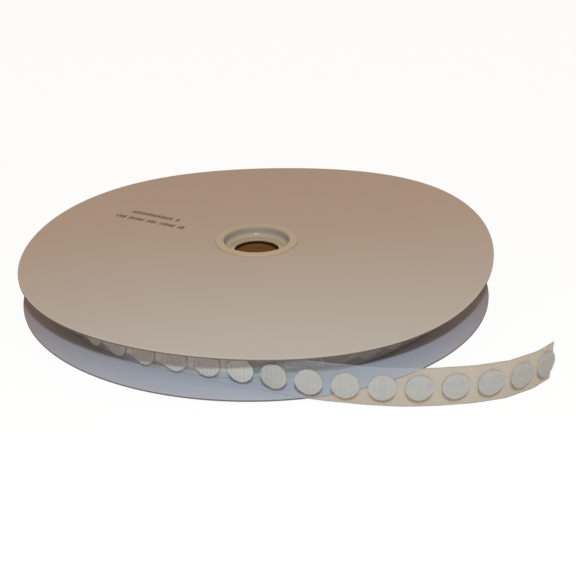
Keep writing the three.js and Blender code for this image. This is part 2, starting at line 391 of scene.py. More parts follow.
def bush_finish(lip_tone, wall_shade_tone, wall_radius, lip_inner):
    """Translucent moulded plastic: cream on the lip, greyer down the cup's wall as painted shade, a little of
    it on the ledge.
    """
    finish = Finish("moulded_bush_plastic")
    radius = finish.from_axis()
    _, _, z = finish.parts()
    clouds = finish.noise(scale=160.0, detail=2.0)
    pits = finish.noise(scale=2600.0, detail=2.0)
    from_middle = finish.reckon("ABSOLUTE", z - (CORE_LOW.z + CORE_HIGH.z) / 2)
    half = (CORE_HIGH.z - CORE_LOW.z) / 2
    high_in_cup = finish.smooth_step(from_middle, half - 0.0062, half - 0.0012)
    on_wall = finish.smooth_step(radius, wall_radius - 0.0032, wall_radius - 0.0002)
    off_lip = 1.0 - finish.smooth_step(radius, lip_inner, lip_inner + 0.0009)
    # Painted shade: darkest high on the cup's wall, lighter on the ledge, none on the lip
    toned = finish.mix(off_lip * (on_wall * high_in_cup * 0.7 + 0.3), lip_tone, wall_shade_tone)
    return finish.surface(
        finish.shade(0.95 + clouds * 0.1, toned), rough=0.46 + clouds * 0.12, shine=0.3,
        Coat_Weight=(1.0 - high_in_cup) * 0.9, Coat_Roughness=0.14,
        Normal=finish.bump(pits, strength=0.04, depth=0.0001),
    )


def core_finish(base):
    """Brown paper wound on a slant, with a seam at each wrap."""
    finish = Finish("wound_core_paper")
    x, y, z = finish.parts()
    around = finish.reckon("ARCTAN2", y - REEL_AXIS.y, x - REEL_AXIS.x)
    wraps_per_metre = 17.0
    wrap = finish.reckon("FRACT", z * wraps_per_metre + around * (0.5 / pi))
    seam = 1.0 - finish.smooth_step(finish.reckon("ABSOLUTE", wrap - 0.5), 0.004, 0.016)
    fibres = finish.noise(scale=(300.0, 300.0, 1500.0), detail=5.0, roughness=0.7)
    clouds = finish.noise(scale=90.0)
    toned = finish.shade(0.8 + clouds * 0.24 + (fibres - 0.5) * 0.2 - seam * 0.14, base)
    relief = finish.bump(fibres - seam * 0.5, strength=0.4, depth=0.0003)
    return finish.surface(toned, rough=0.88, shine=0.2, Normal=relief)


def film_finish(colours, strip):
    """The release liner: clear over the reel, paler on the roll at the dots' height as nylon behind and
    painted light, past the reel's rim a painted view of the lit table behind it with each dot's painted
    shadow, darker at its edges."""
    finish = Finish("release_liner_film", "strip_place")
    along, up, _ = finish.parts()
    # Past the reel's rim: a painted view of the lit table behind the clear liner
    table_view = finish.smooth_step(along - up * (TABLE_VIEW_SLANT - up * TABLE_VIEW_CURVE), TABLE_VIEW_START, TABLE_VIEW_END)

    radius = strip.dot_radius
    dot_height = (LAP_HIGH.z - LAP_LOW.z) / 2 + strip.film_sag - strip.dot_sag
    from_dot = finish.reckon("WRAP", along, strip.dot_pitch / 2, -strip.dot_pitch / 2)
    # A painted shadow below each dot on the table view
    to_dot, to_shadow = (
        finish.vector("LENGTH", finish.join(from_dot, up - (dot_height - drop)), output="Value")
        for drop in (0.0, SHADE_DROP)
    )
    clear_of_dot = finish.smooth_step(to_dot, radius - 0.0008, radius - 0.0002)
    in_shadow = 1.0 - finish.smooth_step(to_shadow, radius - 0.0012, radius + 0.0002)
    # On the roll at the dots' height: paler for the nylon behind and as painted light in the shade
    off_dots = finish.smooth_step(finish.reckon("ABSOLUTE", up - dot_height), radius * 0.35, radius * 0.95)
    off_roll = finish.smooth_step(along, strip.dot_pitch, strip.dot_pitch * 2.5)
    rolled_lit = (1.0 - off_dots) * (1.0 - off_roll)

    half = strip.film_width / 2
    edge = finish.smooth_step(finish.reckon("ABSOLUTE", up - half), half - 0.0007, half - 0.0001)
    scuffs = finish.noise(scale=(90.0, 420.0, 1.0), detail=4.0, roughness=0.65)
    toned = finish.mix(clear_of_dot * in_shadow, colours.film_table_view, colours.film_shaded)
    toned = finish.mix(table_view, colours.film_near, toned)
    toned = finish.mix(rolled_lit, toned, colours.film_rolled_lit)
    toned = finish.shade(1.0 - edge * 0.3 + (scuffs - 0.5) * 0.04, toned)
    cover = table_view * (colours.table_view_cover - colours.clear_cover) + colours.clear_cover
    cover = cover + rolled_lit * colours.rolled_lit_cover + edge * 0.2 + (scuffs - 0.5) * 0.03
    relief = finish.bump(scuffs, strength=0.02, depth=0.0002)
    return finish.surface(toned, rough=0.34 + scuffs * 0.1, shine=0.4, Alpha=cover, Normal=relief)


def wound_film_finish(plain, dotted, dot_radius):
    """Edges and faces of the liner deep in the roll, paler at the height of the dots behind it and lighter
    still there as painted light.
    """
    finish = Finish("wound_liner_film")
    _, _, z = finish.parts()
    scuffs = finish.noise(scale=240.0, detail=4.0)
    off_dots = finish.smooth_step(finish.reckon("ABSOLUTE", z - LAP_MIDDLE), dot_radius * 0.6, dot_radius)
    toned = finish.shade(0.85 + scuffs * 0.3, finish.mix(off_dots, dotted, plain))
    relief = finish.bump(scuffs, strength=0.1, depth=0.0002)
    return finish.surface(toned, rough=0.4, shine=0.35, Normal=relief)


def fabric_finish(base):
    """White woven nylon: a fine rib in two directions, a little unevenness in tone, painted shade on the base
    between hooks.
    """
    finish = Finish("woven_hook_nylon")
    x, y, z = finish.parts()
    ribs = finish.reckon("SINE", z * 5700.0)
    picks = finish.reckon("SINE", (x + y) * 4200.0)
    threads = finish.noise(scale=2400.0)
    clouds = finish.noise(scale=120.0)
    pile = finish.node("ShaderNodeAttribute", {"attribute_name": "pile"}, output="Fac")
    # Painted shade: the woven base, where pile is 0, is darker than the hooks
    tones = 0.8 + pile * 0.24 + clouds * 0.1 + ribs * 0.05 + picks * 0.04 + (threads - 0.5) * 0.14
    relief = finish.bump(ribs * 0.3 + picks * 0.3 + threads, strength=0.35, depth=0.00025)
    return finish.surface(finish.shade(tones, base), rough=0.68, shine=0.3, Normal=relief)


def ink_finish(base):
    """Thin, worn ink that the paper shows through in places."""
    finish = Finish("worn_ink")
    worn = finish.noise(scale=900.0, detail=4.0, roughness=0.7)
    cover = finish.smooth_step(worn, 0.28, 0.6) * 0.52
    return finish.surface(finish.shade(0.8 + worn * 0.4, base), rough=0.8, shine=0.1, Alpha=cover)


# Meshes


def link(name, mesh, finishes):
    """An object at the origin, with its faces turned outwards and its finishes in order."""
    body = bmesh.new()
    body.from_mesh(mesh)
    bmesh.ops.recalc_face_normals(body, faces=body.faces)
    body.to_mesh(mesh)
    body.free()
    mesh.shade_smooth()
    mesh.set_sharp_from_angle(angle=radians(38))
    made = bpy.data.objects.new(name, mesh)
    bpy.context.scene.collection.objects.link(made)
    for finish in finishes:
        if finish.name not in mesh.materials:
            mesh.materials.append(finish)
    return made


def meshed(name, points, faces):
    mesh = bpy.data.meshes.new(name)
    mesh.from_pydata(points, [], faces)
    return mesh


def mark_points(mesh, label, vectors):
    """Gives each point of a mesh its vector, under a name that a finish or a node group reads."""
    attribute = mesh.attributes.new(label, "FLOAT_VECTOR", "POINT")
    attribute.data.foreach_set("vector", [size for vector in vectors for size in vector])


def heading_run(heading):
    return Vector((cos(heading), sin(heading)))


def heading_outward(heading):
    return Vector((sin(heading), -cos(heading)))


def revolved(name, section, segments, finishes, lift=None):
    """A ring from a closed section of (radius, height, finish number), each for the face that follows."""
    points, faces, numbers = [], [], []
    count = len(section)
    for step in range(segments):
        turn = 2 * pi * step / segments
        here = step * count
        ahead = (step + 1) % segments * count
        for index, (radius, height, finish_number) in enumerate(section):
            raised = height + (lift(turn, radius) if lift else 0)
            points.append((*(REEL_AXIS + heading_run(turn) * radius), raised))
            after = (index + 1) % count
            faces.append((here + index, ahead + index, ahead + after, here + after))
            numbers.append(finish_number)
    mesh = meshed(name, points, faces)
    mesh.polygons.foreach_set("material_index", numbers)
    return link(name, mesh, finishes)


def corner(radius, height, size, start, end, steps=8):
    """Points of a rounded corner between two angles in degrees."""
    turns = [radians(start + (end - start) * step / steps) for step in range(steps + 1)]
    return [(radius + size * cos(turn), height + size * sin(turn)) for turn in turns]


def board_lift(reel, drop, waves):
    """How far a board stands off flat at an angle and radius."""

    def lift(turn, radius):
        share = max(0.0, (radius - reel.seat_radius) / (reel.board_radius - reel.seat_radius))
        rim = sum(size * cos(count * (turn - radians(crest))) for size, count, crest in waves)
        return (rim - drop) * share * share

    return lift


class Strip:
    """The liner as a row of flats, one to a dot, with easy bends between them. Distance along it
    starts at the last wound dot and grows towards the free end."""

    def __init__(self, strip):
        self.sizes = strip
        self.pitch = strip.dot_pitch
        self.flat = strip.flat_length / 2
        self.end = FREE_DOTS * strip.dot_pitch + strip.end_length
        self.centres = {}
        self.headings = {}
        step = strip.dot_pitch / (strip.take_off_radius - strip.lap_pitch / 2)
        for index in range(1 - LAP_DOTS, 1):
            turn = strip.take_off_angle + index * step
            radius = strip.take_off_radius + index * step * strip.lap_pitch / (2 * pi)
            self.centres[index] = REEL_AXIS + heading_run(turn) * radius
            self.headings[index] = turn + pi / 2
        for gap, bend in enumerate(FREE_BENDS):
            heading = self.headings[gap] + radians(bend)
            ahead = heading_run(self.headings[gap]) + heading_run(heading)
            self.centres[gap + 1] = self.centres[gap] + ahead * self.pitch / 2
            self.headings[gap + 1] = heading

    def flat_start(self, index):
        return index * self.pitch - self.flat

    def flat_end(self, index):
        return index * self.pitch + self.flat

    def flat_point(self, index, offset):
        return self.centres[index] + heading_run(self.headings[index]) * offset

    def at(self, distance):
        """The point on the outer face at a distance, and the way that the strip runs there."""
        index = max(1 - LAP_DOTS, min(FREE_DOTS, round(distance / self.pitch)))
        offset = distance - index * self.pitch
        past_ends = offset < 0 and index == 1 - LAP_DOTS or offset > 0 and index == FREE_DOTS
        if abs(offset) <= self.flat or past_ends:
            return self.flat_point(index, offset), self.headings[index]
        if offset < 0:
            index -= 1
        share = (distance - self.flat_end(index)) / (self.pitch - 2 * self.flat)
        start = self.flat_point(index, self.flat)
        end = self.flat_point(index + 1, -self.flat)
        bend = (self.flat_point(index, self.pitch / 2) + self.flat_point(index + 1, -self.pitch / 2)) / 2
        place = start * (1 - share) ** 2 + bend * 2 * share * (1 - share) + end * share ** 2
        slope = (bend - start) * (1 - share) + (end - bend) * share
        return place, atan2(slope.y, slope.x)

    def sag(self, distance, depth):
        """How far the strip has sunk at a distance along it, when it sinks to a depth in all."""
        if distance <= 0:
            return 0.0
        away = (self.at(distance)[0] - self.centres[0]).length
        share = min(1.0, max(0.0, (away - SAG_START) / (SAG_END - SAG_START)))
        return depth * share * share * (3 - 2 * share)

    def distances(self, start, end):
        """Distances to place points at: sparse on the flats, close in the bends."""
        steps = 6
        gap = self.pitch - 2 * self.flat
        marks = {start, end}
        for index in range(1 - LAP_DOTS, FREE_DOTS + 1):
            marks.update(index * self.pitch + self.flat * share for share in (-1, -0.5, 0, 0.5, 1))
            marks.update(self.flat_end(index) + gap * step / steps for step in range(1, steps))
        return sorted(mark for mark in marks if start <= mark <= end)


def film_piece(name, path, start, end, finish):
    """A closed thin length of the liner between two distances. It casts no shadow."""
    rows = 6
    strip = path.sizes
    points, places, faces = [], [], []
    stations = path.distances(start, end)
    for distance in stations:
        place, heading = path.at(distance)
        inward = heading_outward(heading) * -strip.film_thickness
        low = LAP_LOW.z - path.sag(distance, strip.film_sag)
        for face in (Vector((0, 0)), inward):
            for row in range(rows + 1):
                up = strip.film_width * row / rows
                points.append((*(place + face), low + up))
                places.append((distance, up, 0.0))
    ring = [*range(rows + 1), *range(2 * rows + 1, rows, -1)]
    count = len(ring)
    last = (len(stations) - 1) * count
    for here in range(0, last, count):
        ahead = here + count
        for index, this in enumerate(ring):
            after = ring[(index + 1) % count]
            faces.append((here + this, here + after, ahead + after, ahead + this))
    for here in (0, last):
        for row in range(here, here + rows):
            inner = row + rows + 1
            faces.append((row, row + 1, inner + 1, inner))
    mesh = meshed(name, points, faces)
    mark_points(mesh, "strip_place", places)
    piece = link(name, mesh, [finish])
    piece.visible_shadow = False
    return piece


# Geometry node groups


WHOLE_NUMBERS = ("Hooks Across", "Rows Across", "Seed")
HOOK_DOT_SIZES = (
    "Dot Radius", "Base Thickness", "Dot Height", "Filament", "Hook Lean", "Fray",
    "Hooks Across", "Rows Across", "Seed",
)
WINDING_SIZES = (
    "Inner Radius", "Outer Radius", "Turns", "Strip Width", "Film Thickness",
    "Dot Pitch", "Dot Radius", "Dot Height",
)


class Shapes(Tree):
    """A geometry node group with named inputs, and the nodes that the groups here share."""

    def __init__(self, name, sizes):
        super().__init__(bpy.data.node_groups.new(name, "GeometryNodeTree"))
        interface = self.tree.interface
        interface.new_socket("Geometry", in_out="OUTPUT", socket_type="NodeSocketGeometry")
        kinds = {label: "Int" if label in WHOLE_NUMBERS else "Float" for label in sizes}
        self.identifiers = {}
        for label, kind in {"Geometry": "Geometry", **kinds, "Finish": "Material"}.items():
            socket = interface.new_socket(label, in_out="INPUT", socket_type=f"NodeSocket{kind}")
            self.identifiers[label] = socket.identifier
        self.entry = self.tree.nodes.new("NodeGroupInput")

    def given(self, label):
        return Value(self, self.entry.outputs[label])

    def moved(self, shape, offset):
        return self.node("GeometryNodeSetPosition", {}, {"Geometry": shape, "Offset": offset})

    def drawn(self, low, high):
        """A number drawn by chance for each point."""
        sockets = {2: low, 3: high, "Seed": self.given("Seed")}
        return self.node("FunctionNodeRandomValue", {"data_type": "FLOAT"}, sockets, output=1)

    def disc(self, sides, radius, height, foot=0.0):
        sockets = {"Vertices": sides, "Radius": radius, "Depth": height}
        disc = self.node("GeometryNodeMeshCylinder", {"fill_type": "NGON"}, sockets)
        raised = self.join(z=height / 2 + foot)
        return self.node("GeometryNodeTransform", {}, {"Geometry": disc, "Translation": raised})

    def tube(self, curve, section):
        sockets = {"Curve": curve, "Profile Curve": section, "Fill Caps": True}
        return self.node("GeometryNodeCurveToMesh", {}, sockets)

    def facing(self, axes, first, second):
        """A turn that points two axes of a shape along two vectors."""
        settings = {"primary_axis": axes[0], "secondary_axis": axes[1]}
        sockets = {"Primary Axis": first, "Secondary Axis": second}
        return self.node("FunctionNodeAxesToRotation", settings, sockets)

    def on_each(self, points, shape, turn, size=(1.0, 1.0, 1.0)):
        sockets = {"Points": points, "Instance": shape, "Rotation": turn, "Scale": size}
        return self.node("GeometryNodeInstanceOnPoints", {}, sockets)

    def finish(self, shape):
        whole = self.node("GeometryNodeRealizeInstances", {}, {"Geometry": shape})
        sockets = {"Geometry": whole, "Material": self.given("Finish")}
        painted = self.node("GeometryNodeSetMaterial", {}, sockets)
        self.node("NodeGroupOutput", {}, {"Geometry": painted})
        return self

    def grown(self, name, points, given, vectors=None):
        """Runs the group on loose points and returns what it makes as a plain mesh. An input that isn't
        given takes the strip's size of its name."""
        strip = bpy.context.scene.dotroll_strip
        seed_mesh = meshed(f"{name}_points", points, [])
        for label, rows in (vectors or {}).items():
            mark_points(seed_mesh, label, rows)
        made = bpy.data.objects.new(f"{name}_points", seed_mesh)
        bpy.context.scene.collection.objects.link(made)
        modifier = made.modifiers.new("Shapes", "NODES")
        modifier.node_group = self.tree
        for label, identifier in self.identifiers.items():
            if label in given:
                modifier[identifier] = given[label]
            elif label != "Geometry":
                modifier[identifier] = getattr(strip, label.lower().replace(" ", "_"))
        graph = bpy.context.evaluated_depsgraph_get()
        mesh = bpy.data.meshes.new_from_object(made.evaluated_get(graph))
        mesh.name = name
        made.modifiers.remove(modifier)
        bpy.data.objects.remove(made)
        if not mesh.polygons:
            raise RuntimeError(f"the node group made no faces for {name}")
        return mesh


def frayed_rim(group, ring):
    """Short loose threads that stand out all round a dot."""
    sockets = {"Vertices": 44, "Radius": group.given("Dot Radius") * 0.96}
    rim = group.node("GeometryNodeMeshCircle", {"fill_type": "NONE"}, sockets)
    rim = group.moved(rim, group.join(z=group.given("Base Thickness") * 0.8))
    reach = group.given("Fray")
    sockets = {"End": group.join(x=reach, z=reach * 0.3)}
    thread = group.node("GeometryNodeCurvePrimitiveLine", {"mode": "POINTS"}, sockets)
    outwards = group.facing("XZ", group.node("GeometryNodeInputPosition"), (0.0, 0.0, 1.0))
    return group.on_each(rim, group.tube(thread, ring), outwards, group.drawn(0.5, 1.3))


def hook(group, stem, ring):
    """One hook: a thread that rises from its root, bends over and ends a little lower."""
    lean = group.given("Hook Lean")
    crown = stem * 1.22
    sockets = {
        "Resolution": 4, "Start": (0.0, 0.0, 0.0), "Start Handle": group.join(z=crown),
        "End Handle": group.join(x=lean * 1.1, z=crown), "End": group.join(x=lean, z=stem * 0.62),
    }
    thread = group.node("GeometryNodeCurvePrimitiveBezierSegment", {"mode": "POSITION"}, sockets)
    return group.tube(thread, ring)


def hook_dot_group():
    """Woven discs with rows of small hooks, one disc to each point."""
    group = Shapes("hook_dots", HOOK_DOT_SIZES)
    radius = group.given("Dot Radius")
    base = group.given("Base Thickness")
    place = group.node("GeometryNodeInputPosition")
    ragged = group.node("ShaderNodeTexNoise", {}, {"Vector": place, "Scale": 900.0, "Detail": 2.0})
    level = group.vector("MULTIPLY", place, (1.0, 1.0, 0.0))
    sockets = {0: level, "Scale": (ragged - 0.5) * 0.05}
    stray = group.node("ShaderNodeVectorMath", {"operation": "SCALE"}, sockets)
    disc = group.moved(group.disc(40, radius, base), stray)

    spread = radius * 1.95
    sockets = {
        "Size X": spread, "Size Y": spread,
        "Vertices X": group.given("Hooks Across"), "Vertices Y": group.given("Rows Across"),
    }
    grid = group.node("GeometryNodeMeshGrid", {}, sockets)
    sockets = {0: group.vector("LENGTH", place, output="Value"), 1: radius * 0.985}
    outside = group.node("FunctionNodeCompare", {"operation": "GREATER_THAN"}, sockets)
    sockets = {"Geometry": grid, "Selection": outside}
    grid = group.node("GeometryNodeDeleteGeometry", {"domain": "POINT"}, sockets)
    root = base * 0.9
    play = 0.00007
    sockets = {0: (-play, -play, 0.0), 1: (play, play, 0.0), "Seed": group.given("Seed")}
    jitter = group.node("FunctionNodeRandomValue", {"data_type": "FLOAT_VECTOR"}, sockets)
    roots = group.moved(grid, group.vector("ADD", jitter, group.join(z=root)))

    sockets = {"Resolution": 3, "Radius": group.given("Filament") / 2}
    ring = group.node("GeometryNodeCurvePrimitiveCircle", {"mode": "RADIUS"}, sockets)
    sockets = {"Probability": 0.5, "Seed": group.given("Seed")}
    side = group.node("FunctionNodeRandomValue", {"data_type": "BOOLEAN"}, sockets, output=3)
    turn = group.join(z=side * pi + group.drawn(-0.2, 0.2))
    turn = group.node("FunctionNodeEulerToRotation", {}, {0: turn})
    hooks = group.on_each(roots, hook(group, group.given("Dot Height") - root, ring), turn)
    sockets = {"Geometry": group.node("GeometryNodeRealizeInstances", {}, {"Geometry": hooks})}
    sockets.update({"Name": "pile", "Value": 1.0})
    settings = {"data_type": "FLOAT", "domain": "POINT"}
    hooks = group.node("GeometryNodeStoreNamedAttribute", settings, sockets)
    dot = group.node("GeometryNodeJoinGeometry", {}, {0: [hooks, frayed_rim(group, ring), disc]})

    outward, along = (
        group.node("GeometryNodeInputNamedAttribute", {"data_type": "FLOAT_VECTOR"}, {0: name})
        for name in ("outward", "along")
    )
    return group.finish(group.on_each(group.given("Geometry"), dot, group.facing("ZX", outward, along)))


def spiral(group):
    sockets = {
        "Resolution": 72, "Rotations": group.given("Turns"),
        "Start Radius": group.given("Inner Radius"), "End Radius": group.given("Outer Radius"), "Height": 0.0,
    }
    return group.node("GeometryNodeCurveSpiral", {}, sockets)


def wound_film_group():
    """The liner in all its inner turns."""
    group = Shapes("wound_film", WINDING_SIZES)
    sockets = {"Width": group.given("Film Thickness"), "Height": group.given("Strip Width")}
    section = group.node("GeometryNodeCurvePrimitiveQuadrilateral", {"mode": "RECTANGLE"}, sockets)
    return group.finish(group.tube(spiral(group), section))


def wound_dots_group():
    """The dots on the inner turns of the liner, as plain discs."""
    group = Shapes("wound_dots", WINDING_SIZES)
    sockets = {"Curve": spiral(group), "Length": group.given("Dot Pitch")}
    stops = group.node("GeometryNodeResampleCurve", {"mode": "LENGTH"}, sockets)
    points = group.node("GeometryNodeCurveToPoints", {"mode": "EVALUATED"}, {"Curve": stops})
    tangent = Value(group, points.socket.node.outputs["Tangent"])
    disc = group.disc(14, group.given("Dot Radius"), group.given("Dot Height"), group.given("Film Thickness"))
    facing = group.facing("ZX", group.node("GeometryNodeInputPosition"), tangent)
    return group.finish(group.on_each(points, disc, facing))


# Operators


class DOTROLL_OT_boards(Operator):
    """Two board flanges, tan outside and grey-blue inside, with cut edges and slightly waved rims"""

    bl_idname = "dotroll.boards"
    bl_label = "Board Flanges"

    def execute(self, context):
        reel = context.scene.dotroll_reel
        colours = context.scene.dotroll_finish
        radius = reel.board_radius
        finishes = [
            board_face_finish(
                "board_tan_face", colours.board_outside, colours.board_outside_shaded_back, radius, 0.05, 0.08,
            ),
            board_face_finish(
                "board_grey_face", colours.board_inside, colours.board_inside_shaded_back, radius, 0.04, 0.05,
            ),
            board_edge_finish(colours.board_edge),
        ]
        tan, grey, cut = range(3)
        soft = 0.00018
        steps = 18
        inner = reel.board_hole_radius + soft
        width = radius - soft - inner
        rings = [inner + width * step / steps for step in range(steps + 1)]
        low, play = CORE_LOW.z - reel.board_thickness, reel.board_play
        boards = (
            ("lower_board", "bottom_flange", low, BOTTOM_RIM, play, (tan, grey)),
            ("upper_board", "top_flange", CORE_HIGH.z, TOP_RIM, -play, (grey, tan)),
        )
        for name, node, underside, rim, shift, (below, above) in boards:
            top = underside + reel.board_thickness
            section = [
                *((ring, underside, below) for ring in rings[:-1]),
                (rings[-1], underside, cut),
                (radius, underside + soft, cut),
                (radius, top - soft, cut),
                *((ring, top, above) for ring in reversed(rings[1:])),
                (rings[0], top, cut),
                (reel.board_hole_radius, top - soft, cut),
                (reel.board_hole_radius, underside + soft, cut),
            ]
            board = revolved(name, section, BOARD_SEGMENTS, finishes, board_lift(reel, *rim))
            for vertex in board.data.vertices:
                vertex.co.y += shift
            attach(board, "flanges")
            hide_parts(node)
        return {"FINISHED"}


class DOTROLL_OT_bushes(Operator):
    """Two moulded bushes, each a flanged cup with a holed ledge"""

    bl_idname = "dotroll.bushes"
    bl_label = "Plastic Bushes"

    def execute(self, context):
        reel = context.scene.dotroll_reel
        colours = context.scene.dotroll_finish
        wall = reel.cup_radius - reel.cup_wall
        finish = bush_finish(colours.bush, colours.bush_wall_shade, wall, wall + reel.mouth_round * 0.5)
        lip, lip_round, mouth_round = reel.lip_thickness, reel.lip_round, reel.mouth_round
        ledge_top = lip - reel.cup_depth
        ledge_bottom = ledge_top - reel.ledge_thickness
        hole_round = 0.0002
        chamfer = 0.0006
        section = [
            *corner(reel.spindle_radius + hole_round, ledge_top - hole_round, hole_round, 180, 90, 3),
            *corner(wall - reel.ledge_round, ledge_top + reel.ledge_round, reel.ledge_round, -90, 0),
            *corner(wall + mouth_round, lip - mouth_round, mouth_round, 180, 90),
            *corner(reel.lip_radius - lip_round, lip - lip_round, lip_round, 90, 0),
            (reel.lip_radius, 0),
            (reel.cup_radius, 0),
            (reel.cup_radius, ledge_bottom + chamfer),
            (reel.cup_radius - chamfer, ledge_bottom),
            (reel.spindle_radius, ledge_bottom),
        ]
        for name, node, seat, side in (
            ("lower_bush", "bottom_bush", CORE_LOW.z - reel.board_thickness, -1),
            ("upper_bush", "top_bush", CORE_HIGH.z + reel.board_thickness, 1),
        ):
            placed = [(radius, seat + side * height, 0) for radius, height in section]
            bush = revolved(name, placed, HUB_SEGMENTS, [finish])
            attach(bush, "flanges")
            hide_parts(node)
        return {"FINISHED"}


class DOTROLL_OT_core(Operator):
    """The paper core that the strip is wound on"""

    bl_idname = "dotroll.core"
    bl_label = "Paper Core"

    def execute(self, context):
        reel = context.scene.dotroll_reel
        soft = 0.0003
        inner, outer = reel.core_inner_radius, reel.core_outer_radius
        low, high = CORE_LOW.z, CORE_HIGH.z
        section = [
            (inner + soft, low, 0), (outer - soft, low, 0), (outer, low + soft, 0), (outer, high - soft, 0),
            (outer - soft, high, 0), (inner + soft, high, 0), (inner, high - soft, 0), (inner, low + soft, 0),
        ]
        finish = core_finish(context.scene.dotroll_finish.kraft)
        core = revolved("paper_core", section, HUB_SEGMENTS, [finish])
        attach(core, "core")
        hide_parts("core_tube")
        return {"FINISHED"}


class DOTROLL_OT_winding(Operator):
    """Every turn of the strip under the outer one: the liner, and the dots on it"""

    bl_idname = "dotroll.winding"
    bl_label = "Wound Strip"

    def execute(self, context):
        reel = context.scene.dotroll_reel
        strip = context.scene.dotroll_strip
        colours = context.scene.dotroll_finish
        path = Strip(strip)
        under_lap = 0.0002
        over_core = 0.0006
        narrower = 0.0002
        lap_start = path.at(path.flat_start(1 - LAP_DOTS))[0] - REEL_AXIS
        outer = lap_start.length - under_lap
        inner = reel.core_outer_radius + over_core
        turns = (outer - inner) / strip.lap_pitch
        given = {
            "Inner Radius": inner, "Outer Radius": outer, "Turns": turns,
            "Strip Width": strip.film_width - narrower,
        }
        # The spiral's outer end meets the start of the outer lap
        turn = atan2(lap_start.y, lap_start.x) - turns * 2 * pi
        liner = wound_film_finish(colours.film_wound, colours.film_dotted, strip.dot_radius)
        pieces = (
            ("wound_liner", wound_film_group(), LAP_LOW.z + strip.film_width / 2, liner),
            # The wound dots share the lap dots' lighter nylon, painted light
            ("wound_dots", wound_dots_group(), LAP_MIDDLE, fabric_finish(colours.lap_dots)),
        )
        for name, group, height, finish in pieces:
            mesh = group.grown(name, [(0, 0, 0)], {**given, "Finish": finish})
            mesh.transform(Matrix.Translation((*REEL_AXIS, height)) @ Matrix.Rotation(turn, 4, "Z"))
            piece = link(name, mesh, [finish])
            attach(piece, "core")
            if name == "wound_liner":
                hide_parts("wound_pack")
        return {"FINISHED"}


class DOTROLL_OT_strip(Operator):
    """The outer lap and the free end of the liner, in lengths that bend into each other"""

    bl_idname = "dotroll.strip"
    bl_label = "Release Liner"

    def execute(self, context):
        strip = context.scene.dotroll_strip
        path = Strip(strip)
        finish = film_finish(context.scene.dotroll_finish, strip)
        lengths = (
            ("lap_liner", "core", "outer_lap", 1 - LAP_DOTS, path.flat_end(0)),
            ("near_liner", "tail_near", "tail_near", 1, path.flat_end(MIDDLE_FIRST - 1)),
            ("middle_liner", "tail_middle", "tail_middle", MIDDLE_FIRST, path.flat_end(END_FIRST - 1)),
            ("end_liner", "tail_end", "tail_end", END_FIRST, path.end),
        )
        for name, body, node, first, end in lengths:
            piece = film_piece(name, path, path.flat_start(first), end, finish)
            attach(piece, body)
            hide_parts(node)
        folds = (
            ("take_off_fold", "core", "tail_near", 0),
            ("first_fold", "tail_near", "tail_middle", MIDDLE_FIRST - 1),
            ("second_fold", "tail_middle", "tail_end", END_FIRST - 1),
        )
        for name, before, after, flat in folds:
            ends = (path.flat_end(flat), path.flat_start(flat + 1))
            piece = film_piece(name, path, *ends, finish)
            spots = [(*path.at(distance)[0], LAP_LOW.z) for distance in ends]
            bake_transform(piece)
        return {"FINISHED"}


def hook_dots(name, group, path, indices, seed, finish):
    """Hook dots on the given flats of the strip, as one mesh."""
    gap = 0.00002
    points, outward, along = [], [], []
    for index in indices:
        facing = heading_outward(path.headings[index])
        sunk = path.sag(index * path.pitch, path.sizes.dot_sag)
        points.append((*(path.centres[index] + facing * gap), LAP_MIDDLE - sunk))
        outward.append((*facing, 0.0))
        along.append((*heading_run(path.headings[index]), 0.0))
    given = {"Seed": seed, "Finish": finish}
    mesh = group.grown(name, points, given, {"outward": outward, "along": along})
    return link(name, mesh, [finish])


class DOTROLL_OT_dots(Operator):
    """Hook dots on the outer lap and on the free end"""

    bl_idname = "dotroll.dots"
    bl_label = "Hook Dots"

    def execute(self, context):
        path = Strip(context.scene.dotroll_strip)
        colours = context.scene.dotroll_finish
        lap_seed = 3
        first_free_seed = 11
        group = hook_dot_group()
        lit_lap_finish = fabric_finish(colours.lap_dots)
        free_finish = fabric_finish(colours.dots)
        lap = hook_dots("lap_hook_dots", group, path, range(1 - LAP_DOTS, 1), lap_seed, lit_lap_finish)
        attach(lap, "core")
        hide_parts("lap_dots")
        for number in range(1, FREE_DOTS + 1):
            # The dots nearest the roll take the lap's lighter finish: painted light
            finish = lit_lap_finish if number <= NEAR_ROLL else free_finish
            seed = first_free_seed + number - 1
            dot = hook_dots(f"hook_dot_{number:02d}", group, path, [number], seed, finish)
            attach(dot, f"dot_{number:02d}")
            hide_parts(f"tail_dot_{number:02d}")
        return {"FINISHED"}


